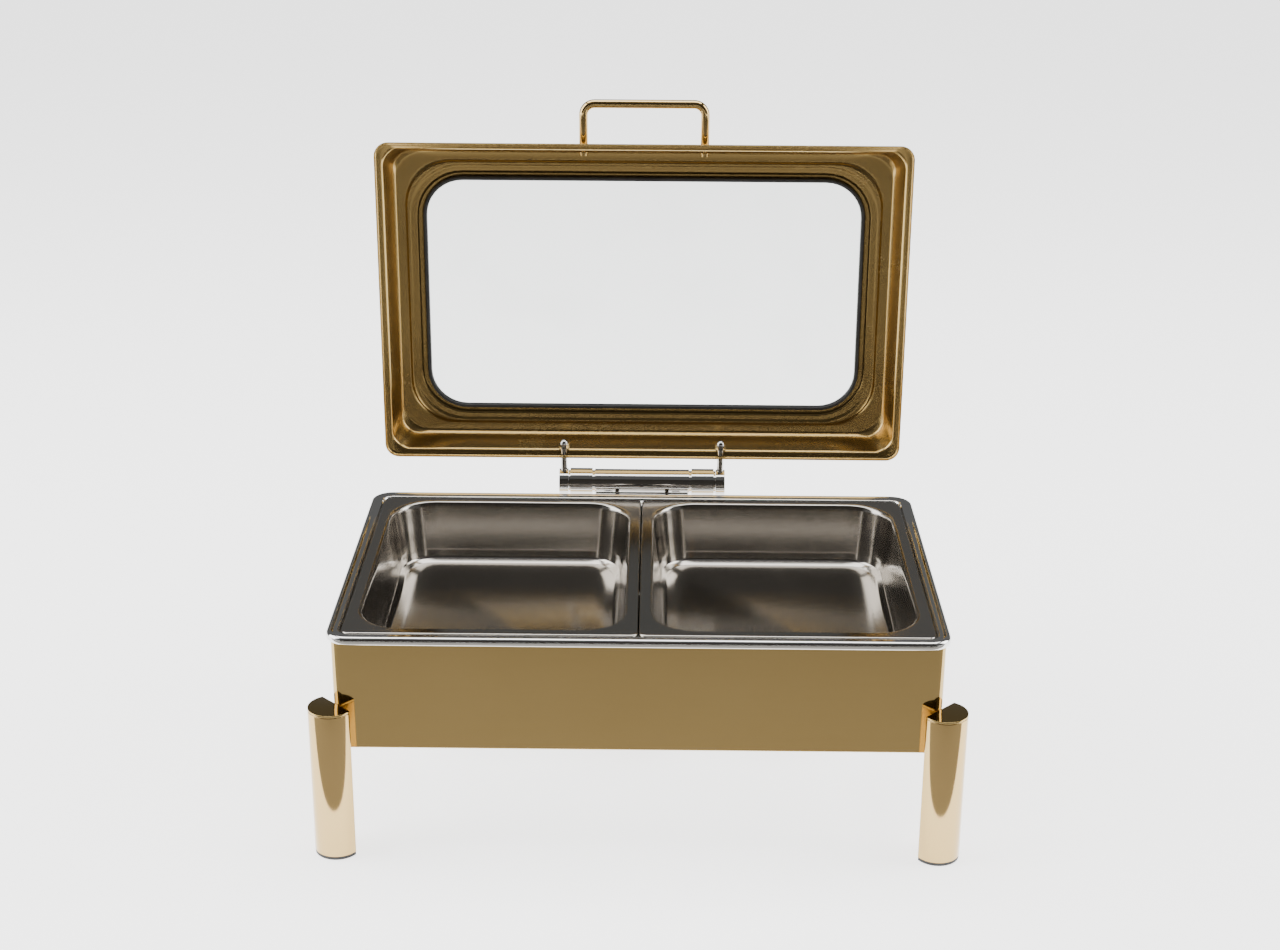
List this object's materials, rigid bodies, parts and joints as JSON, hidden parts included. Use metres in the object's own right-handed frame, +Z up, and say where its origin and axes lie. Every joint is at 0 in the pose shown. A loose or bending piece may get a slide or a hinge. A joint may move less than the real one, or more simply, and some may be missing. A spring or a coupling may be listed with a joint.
{
  "type": "roll top chafer",
  "caption": "Rectangular buffet chafer with a window lid on a self-holding barrel hinge, lift-out food pans side by side and half-round legs.",
  "frame": {"origin": "on the floor under the middle of the whole box, lid standing open", "axes": "+Z up, +X to the diner's right, the diner stands at -Y and the hinge is at the rear, +Y"},
  "size_m": [0.5914, 0.4222, 0.6204],
  "materials": {
    "gold_polished": "mirror-polished gold-coloured stainless steel",
    "gold_satin": "satin gold-coloured stainless steel",
    "rim_steel": "bright polished stainless steel",
    "pan_steel": "polished stainless steel",
    "hinge_chrome": "bright chrome",
    "fastener_steel": "plain stainless fasteners",
    "burner_steel": "brushed stainless steel",
    "black_rubber": "matt black rubber",
    "damper_black": "black moulded damper cartridge",
    "clear_glass": "clear tempered glass"
  },
  "bodies": {
    "body": {"skirt": "gold_polished", "water_pan": "rim_steel", "leg_front_left": "gold_polished", "leg_front_right": "gold_polished", "leg_rear_left": "gold_polished", "leg_rear_right": "gold_polished", "leg_cap_front_left": "gold_polished", "leg_cap_front_right": "gold_polished", "leg_cap_rear_left": "gold_polished", "leg_cap_rear_right": "gold_polished", "foot_pad_front_left": "black_rubber", "foot_pad_front_right": "black_rubber", "foot_pad_rear_left": "black_rubber", "foot_pad_rear_right": "black_rubber", "leg_screws": "fastener_steel", "leg_nuts": "fastener_steel", "burner_rack": "burner_steel", "rack_screws": "fastener_steel", "fuel_cup_left": "burner_steel", "fuel_cup_right": "burner_steel", "cover_pivot_left": "fastener_steel", "cover_pivot_right": "fastener_steel", "hinge_bracket": "hinge_chrome", "hinge_bolts": "fastener_steel", "hinge_tube": "hinge_chrome", "damper_sleeve_left": "hinge_chrome", "damper_sleeve_right": "hinge_chrome", "damper_core_left": "damper_black", "damper_core_right": "damper_black", "hinge_rings": "hinge_chrome"},
    "lid": {"hinge_shaft": "fastener_steel", "hinge_knuckle_left": "hinge_chrome", "hinge_knuckle_right": "hinge_chrome", "lid_stud_left": "hinge_chrome", "lid_stud_right": "hinge_chrome", "acorn_nuts": "hinge_chrome", "lid_shell": "gold_satin", "window_gasket": "black_rubber", "window_glass": "clear_glass", "handle": "gold_polished", "handle_screws": "fastener_steel", "handle_washers": "fastener_steel"},
    "food_pan_left": {"food_pan_left": "pan_steel"},
    "food_pan_right": {"food_pan_right": "pan_steel"},
    "cup_cover_left": {"cup_cover_left": "burner_steel"},
    "cup_cover_right": {"cup_cover_right": "burner_steel"}
  },
  "joints": [
    {"name": "lid_hinge", "type": "hinge", "parent": "body", "child": "lid", "pos_m": [0, 0.17371, 0.2226], "axis": [1, 0, 0], "range_deg": [0, 90]},
    {"name": "pan_left_lift", "type": "slide", "parent": "body", "child": "food_pan_left", "axis": [0, 0, 1], "range_m": [0, 0.2]},
    {"name": "pan_right_lift", "type": "slide", "parent": "body", "child": "food_pan_right", "axis": [0, 0, 1], "range_m": [0, 0.2]},
    {"name": "cover_left_swing", "type": "hinge", "parent": "body", "child": "cup_cover_left", "pos_m": [-0.179, -0.00389, 0.078], "axis": [0, 0, 1], "range_deg": [0, 100]},
    {"name": "cover_right_swing", "type": "hinge", "parent": "body", "child": "cup_cover_right", "pos_m": [0.179, -0.00389, 0.078], "axis": [0, 0, -1], "range_deg": [0, 100]}
  ]
}
